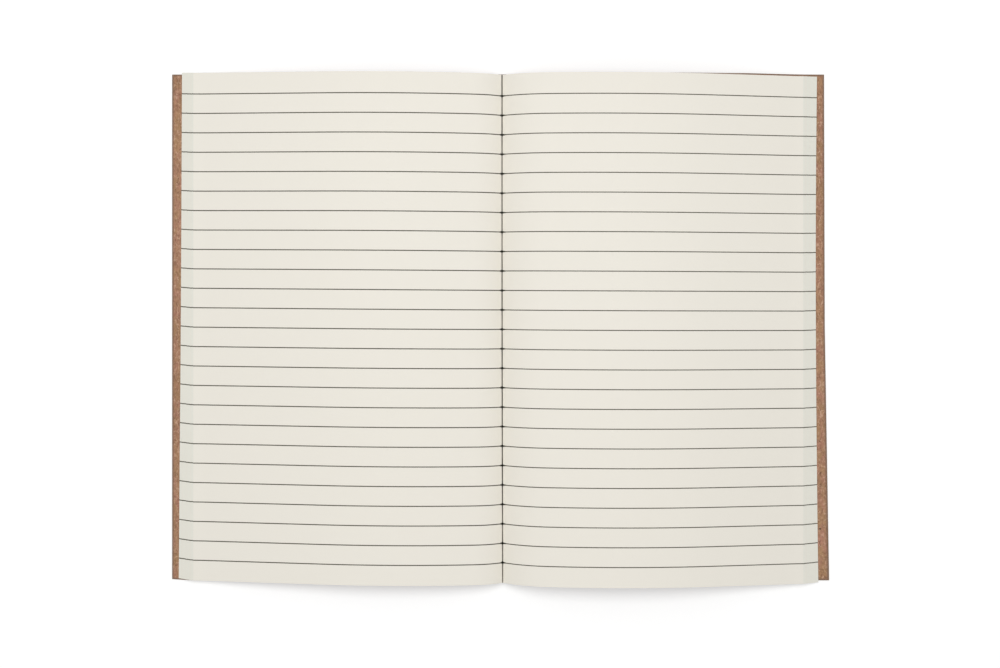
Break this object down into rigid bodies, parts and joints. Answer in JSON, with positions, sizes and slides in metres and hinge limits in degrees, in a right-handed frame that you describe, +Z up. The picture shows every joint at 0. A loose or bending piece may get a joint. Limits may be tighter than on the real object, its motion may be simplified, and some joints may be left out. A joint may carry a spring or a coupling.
{
  "type": "open notebook",
  "caption": "Soft-cover notebook lying open near its middle, with a brown card cover, arched cream leaves with a thin grey ruling, and a stapled fold.",
  "frame": {"origin": "middle of the notebook's footprint, on the table that it lies on", "axes": "+X across the spread from the front cover to the back cover, +Y along the fold towards the head of the leaves, +Z up out of the open pages"},
  "size_m": [0.2718, 0.2108, 0.0154],
  "materials": {
    "page_paper": "matte",
    "ruling_ink": "matte",
    "cover_card": "matte",
    "staple_wire": "satin"
  },
  "bodies": {
    "block": {"page_block": "page_paper", "front_page_ruling": "ruling_ink", "back_page_ruling": "ruling_ink", "cover_spine": "cover_card", "head_staple": "staple_wire", "tail_staple": "staple_wire"},
    "front_cover": {"front_cover": "cover_card"},
    "back_cover": {"back_cover": "cover_card"}
  },
  "joints": [
    {"name": "front_cover_fold", "type": "hinge", "parent": "block", "child": "front_cover", "pos_m": [-0.00192, 0, 0.00097], "axis": [0, -1, 0], "range_deg": [0, 90]},
    {"name": "back_cover_fold", "type": "hinge", "parent": "block", "child": "back_cover", "pos_m": [0.00308, 0, 0.00097], "axis": [0, 1, 0], "range_deg": [0, 90]}
  ]
}
